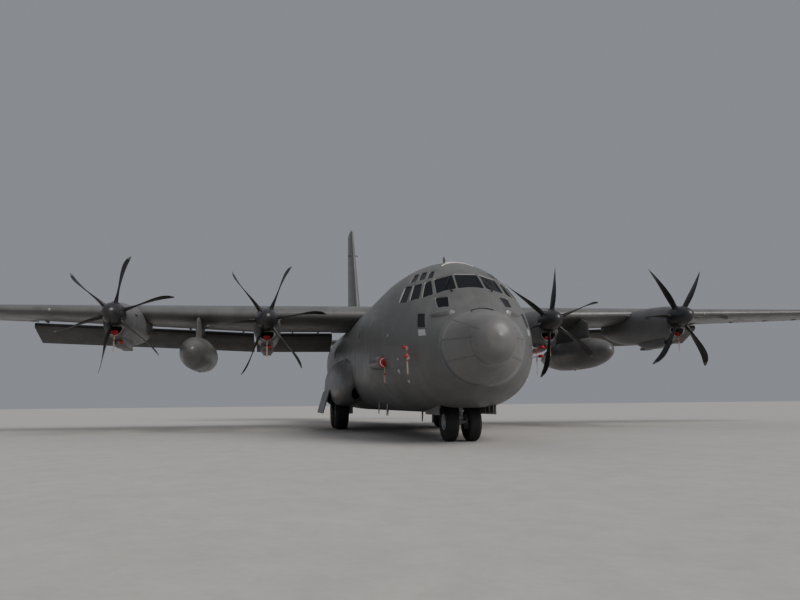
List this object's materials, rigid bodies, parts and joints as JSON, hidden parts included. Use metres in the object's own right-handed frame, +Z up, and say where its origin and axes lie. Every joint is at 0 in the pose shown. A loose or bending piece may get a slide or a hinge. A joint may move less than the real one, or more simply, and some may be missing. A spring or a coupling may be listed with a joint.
{
  "type": "military transport plane, 1:2 scale model",
  "caption": "High-wing turboprop military transport plane with a hollow hold, rear ramp, lowered flaps, underwing fuel tanks and wheels, built at half size.",
  "frame": {"origin": "on the ground under the middle of the aircraft's bounding box", "axes": "+X to the aircraft's left along the span, +Y aft, +Z up"},
  "size_m": [20.205, 14.895, 5.92],
  "materials": {
    "airframe_paint": "satin grey paint",
    "radome_paint": "satin grey paint",
    "window_glass": "clear",
    "propeller_paint": "satin dark grey",
    "tyre_rubber": "matte",
    "gear_steel": "satin",
    "interior_paint": "matte"
  },
  "bodies": {
    "airframe": {"radome": "radome_paint", "cockpit_shell": "airframe_paint", "cockpit_glazing": "window_glass", "flight_deck": "interior_paint", "cargo_fuselage": "airframe_paint", "paratroop_door_left": "airframe_paint", "paratroop_door_right": "airframe_paint", "cargo_floor": "interior_paint", "aft_fuselage": "airframe_paint", "wing_centre": "airframe_paint", "wing_left": "airframe_paint", "wing_right": "airframe_paint", "tailplane": "airframe_paint", "fin": "airframe_paint", "nacelle_1": "airframe_paint", "engine_1": "gear_steel", "nacelle_2": "airframe_paint", "engine_2": "gear_steel", "nacelle_3": "airframe_paint", "engine_3": "gear_steel", "nacelle_4": "airframe_paint", "engine_4": "gear_steel", "fuel_tank_left": "airframe_paint", "fuel_tank_right": "airframe_paint", "sponson_left": "airframe_paint", "main_gear_left": "gear_steel", "main_gear_door_left": "airframe_paint", "sponson_right": "airframe_paint", "main_gear_right": "gear_steel", "main_gear_door_right": "airframe_paint", "nose_gear_leg": "gear_steel", "nose_gear_door_left": "airframe_paint", "nose_gear_door_right": "airframe_paint"},
    "propeller_1": {"propeller_1": "propeller_paint"},
    "propeller_2": {"propeller_2": "propeller_paint"},
    "propeller_3": {"propeller_3": "propeller_paint"},
    "propeller_4": {"propeller_4": "propeller_paint"},
    "nose_steering": {"nose_gear_fork": "gear_steel"},
    "nose_wheels": {"nose_wheels": "tyre_rubber"},
    "main_wheel_left_front": {"main_wheel_left_front": "tyre_rubber"},
    "main_wheel_left_rear": {"main_wheel_left_rear": "tyre_rubber"},
    "main_wheel_right_front": {"main_wheel_right_front": "tyre_rubber"},
    "main_wheel_right_rear": {"main_wheel_right_rear": "tyre_rubber"},
    "crew_door": {"crew_door": "airframe_paint"},
    "cargo_ramp": {"cargo_ramp": "airframe_paint"},
    "aft_cargo_door": {"aft_cargo_door": "airframe_paint"},
    "aileron_left": {"aileron_left": "airframe_paint"},
    "aileron_right": {"aileron_right": "airframe_paint"},
    "flap_left_inner": {"flap_left_inner": "airframe_paint"},
    "flap_left_outer": {"flap_left_outer": "airframe_paint"},
    "flap_right_inner": {"flap_right_inner": "airframe_paint"},
    "flap_right_outer": {"flap_right_outer": "airframe_paint"},
    "rudder": {"rudder": "airframe_paint"},
    "elevator_left": {"elevator_left": "airframe_paint"},
    "elevator_right": {"elevator_right": "airframe_paint"}
  },
  "joints": [
    {"name": "propeller_1_spin", "type": "hinge", "parent": "airframe", "child": "propeller_1", "pos_m": [5.075, -2.89185, 2.0295], "axis": [0, 1, 0], "continuous": true},
    {"name": "propeller_2_spin", "type": "hinge", "parent": "airframe", "child": "propeller_2", "pos_m": [2.515, -3.0225, 1.93], "axis": [0, 1, 0], "continuous": true},
    {"name": "propeller_3_spin", "type": "hinge", "parent": "airframe", "child": "propeller_3", "pos_m": [-2.515, -3.0225, 1.93], "axis": [0, 1, 0], "continuous": true},
    {"name": "propeller_4_spin", "type": "hinge", "parent": "airframe", "child": "propeller_4", "pos_m": [-5.075, -2.89185, 2.0295], "axis": [0, 1, 0], "continuous": true},
    {"name": "nose_steer", "type": "hinge", "parent": "airframe", "child": "nose_steering", "pos_m": [0, -5.7975, 0], "axis": [0, 0, 1], "range_deg": [-60, 60]},
    {"name": "nose_wheels_roll", "type": "hinge", "parent": "nose_steering", "child": "nose_wheels", "pos_m": [0, -5.7975, 0.2475], "axis": [1, 0, 0], "continuous": true},
    {"name": "main_wheel_left_front_roll", "type": "hinge", "parent": "airframe", "child": "main_wheel_left_front", "pos_m": [1.0875, -1.2925, 0.355], "axis": [1, 0, 0], "continuous": true},
    {"name": "main_wheel_left_rear_roll", "type": "hinge", "parent": "airframe", "child": "main_wheel_left_rear", "pos_m": [1.0875, -0.5325, 0.355], "axis": [1, 0, 0], "continuous": true},
    {"name": "main_wheel_right_front_roll", "type": "hinge", "parent": "airframe", "child": "main_wheel_right_front", "pos_m": [-1.0875, -1.2925, 0.355], "axis": [1, 0, 0], "continuous": true},
    {"name": "main_wheel_right_rear_roll", "type": "hinge", "parent": "airframe", "child": "main_wheel_right_rear", "pos_m": [-1.0875, -0.5325, 0.355], "axis": [1, 0, 0], "continuous": true},
    {"name": "crew_door_hinge", "type": "hinge", "parent": "airframe", "child": "crew_door", "pos_m": [0.83833, -5.5775, 0.5565], "axis": [0, 1, 0], "range_deg": [0, 105]},
    {"name": "cargo_ramp_hinge", "type": "hinge", "parent": "airframe", "child": "cargo_ramp", "pos_m": [-0.7, 1.5395, 0.5], "axis": [1, 0, 0], "range_deg": [-29, 0]},
    {"name": "aft_door_hinge", "type": "hinge", "parent": "airframe", "child": "aft_cargo_door", "pos_m": [-0.425, 5.1525, 1.725], "axis": [1, 0, 0], "range_deg": [-25, 0]},
    {"name": "aileron_left_hinge", "type": "hinge", "parent": "airframe", "child": "aileron_left", "pos_m": [7.39, -0.14387, 2.31146], "axis": [0.9975, -0.0656, 0.0264], "range_deg": [-15, 25]},
    {"name": "aileron_right_hinge", "type": "hinge", "parent": "airframe", "child": "aileron_right", "pos_m": [-7.39, -0.14387, 2.31146], "axis": [0.9975, 0.0656, -0.0264], "range_deg": [-25, 15]},
    {"name": "flap_left_inner_track", "type": "hinge", "parent": "airframe", "child": "flap_left_inner", "pos_m": [1.1, 0.12718, 1.51636], "axis": [1, 0, 0], "range_deg": [0, 31]},
    {"name": "flap_left_outer_track", "type": "hinge", "parent": "airframe", "child": "flap_left_outer", "pos_m": [2.802, 0.12643, 1.51661], "axis": [0.9938, -0.1063, 0.0324], "range_deg": [0, 31]},
    {"name": "flap_right_inner_track", "type": "hinge", "parent": "airframe", "child": "flap_right_inner", "pos_m": [-1.1, 0.12718, 1.51636], "axis": [1, 0, 0], "range_deg": [0, 31]},
    {"name": "flap_right_outer_track", "type": "hinge", "parent": "airframe", "child": "flap_right_outer", "pos_m": [-2.802, 0.12643, 1.51661], "axis": [0.9938, 0.1063, -0.0324], "range_deg": [0, 31]},
    {"name": "rudder_hinge", "type": "hinge", "parent": "airframe", "child": "rudder", "pos_m": [0, 6.22561, 2.54], "axis": [0, 0.0828, 0.9966], "range_deg": [-35, 35]},
    {"name": "elevator_left_hinge", "type": "hinge", "parent": "airframe", "child": "elevator_left", "pos_m": [0.49, 5.92097, 2.32], "axis": [0.9989, 0.0478, 0], "range_deg": [-15, 40]},
    {"name": "elevator_right_hinge", "type": "hinge", "parent": "airframe", "child": "elevator_right", "pos_m": [-0.49, 5.92097, 2.32], "axis": [0.9989, -0.0478, 0], "range_deg": [-15, 40]}
  ],
  "couplings": [
    {"joint": "aileron_right_hinge", "follows": "aileron_left_hinge", "ratio": -1},
    {"joint": "elevator_right_hinge", "follows": "elevator_left_hinge", "ratio": 1},
    {"joint": "flap_left_outer_track", "follows": "flap_left_inner_track", "ratio": 1},
    {"joint": "flap_right_inner_track", "follows": "flap_left_inner_track", "ratio": 1},
    {"joint": "flap_right_outer_track", "follows": "flap_left_inner_track", "ratio": 1}
  ]
}
